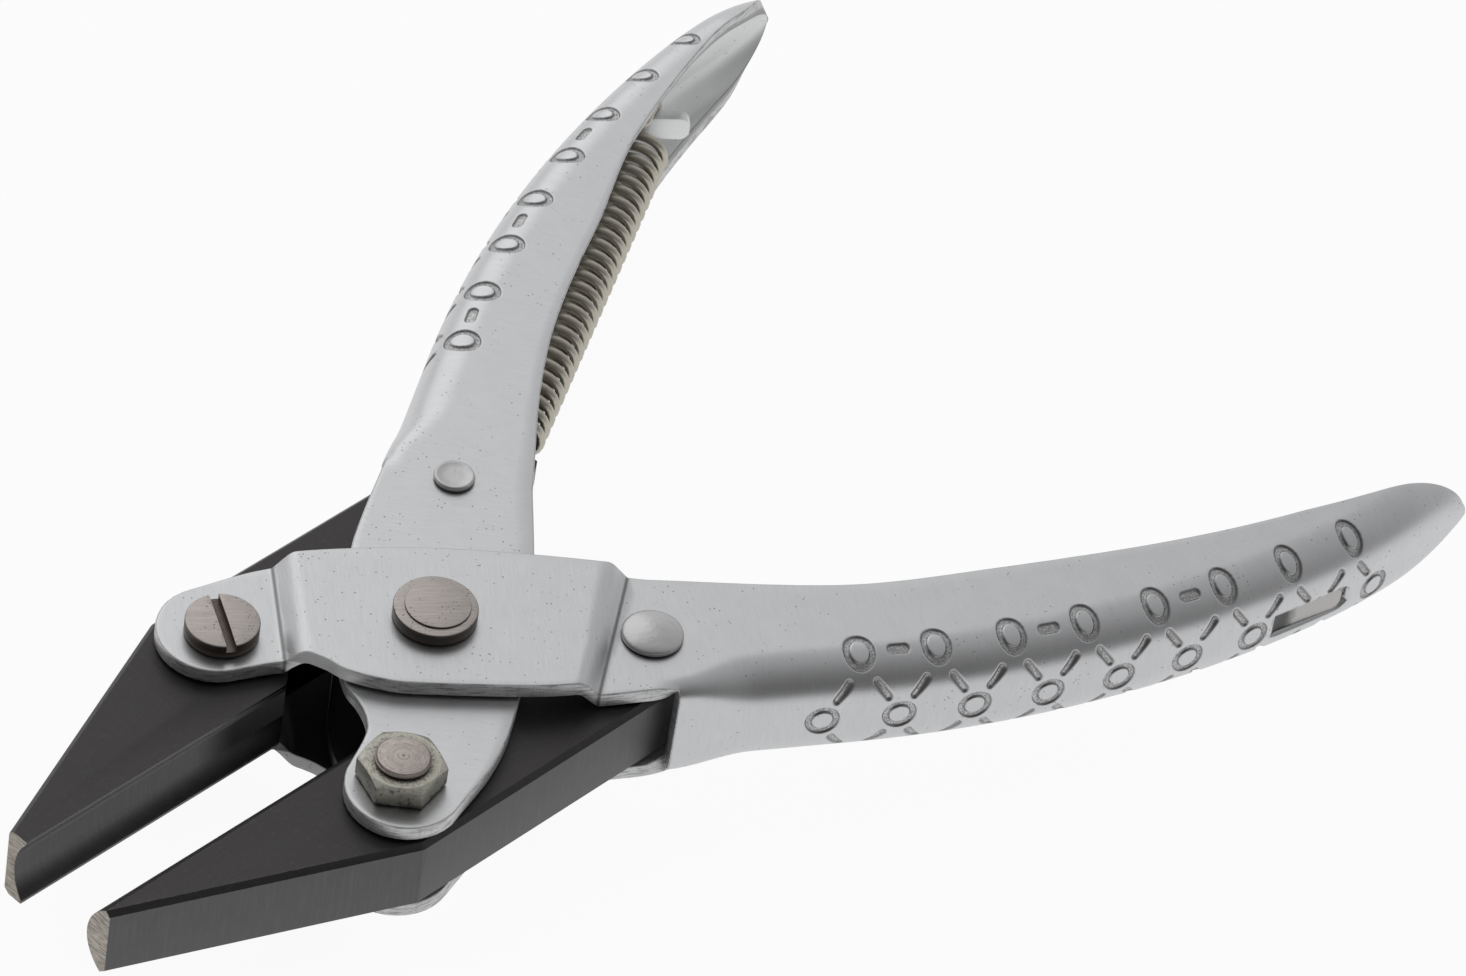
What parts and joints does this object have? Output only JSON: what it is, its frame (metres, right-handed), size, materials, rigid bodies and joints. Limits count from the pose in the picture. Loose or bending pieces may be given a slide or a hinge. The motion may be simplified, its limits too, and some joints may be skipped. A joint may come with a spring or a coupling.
{
  "type": "parallel-action forming pliers",
  "caption": "Parallel-action pliers with a hollow and a half-round jaw between folded sheet-steel handles that cross at a pivot, opened by a coil spring.",
  "frame": {"origin": "on the main pivot's axis, on the flat underside of its lower head", "axes": "+Z along the pivot, upwards; -Y towards the jaw tips; +Y towards the handles; the hollow jaw is on -X"},
  "size_m": [0.0918, 0.1358, 0.0177],
  "materials": {
    "black_jaw_steel": "black oxide, ground faces",
    "plated_sheet_steel": "satin plating on folded sheet",
    "pin_steel": "brushed steel",
    "nut_steel": "dull zinc",
    "rivet_steel": "bright steel",
    "spring_steel": "dark oiled spring steel"
  },
  "bodies": {
    "left_handle": {"left_handle": "plated_sheet_steel", "left_handle_rivet": "rivet_steel", "right_jaw_screw": "pin_steel", "right_jaw_nut": "nut_steel", "return_spring": "spring_steel"},
    "right_handle": {"right_handle": "plated_sheet_steel", "right_handle_rivet": "rivet_steel", "left_jaw_screw": "pin_steel", "left_jaw_nut": "nut_steel", "pivot_pin": "pin_steel", "pivot_collar": "pin_steel"},
    "right_jaw": {"right_jaw": "black_jaw_steel"},
    "left_jaw": {"left_jaw": "black_jaw_steel"}
  },
  "joints": [
    {"name": "handle_hinge", "type": "hinge", "parent": "left_handle", "child": "right_handle", "pos_m": [0, 0, 0.00885], "axis": [0, 0, 1], "range_deg": [0, 31.93], "stiffness_Nm_per_rad": 0.15, "springref_deg": -45.84, "deforming": ["return_spring"]},
    {"name": "right_jaw_hinge", "type": "hinge", "parent": "left_handle", "child": "right_jaw", "pos_m": [0.01153, -0.015, 0.00885], "axis": [0, 0, 1], "range_deg": [0, 15.96]},
    {"name": "left_jaw_hinge", "type": "hinge", "parent": "right_handle", "child": "left_jaw", "pos_m": [-0.01153, -0.015, 0.00885], "axis": [0, 0, 1], "range_deg": [-15.96, 0]}
  ],
  "couplings": [
    {"joint": "right_jaw_hinge", "follows": "handle_hinge", "ratio": 0.5},
    {"joint": "left_jaw_hinge", "follows": "handle_hinge", "ratio": -0.5}
  ]
}
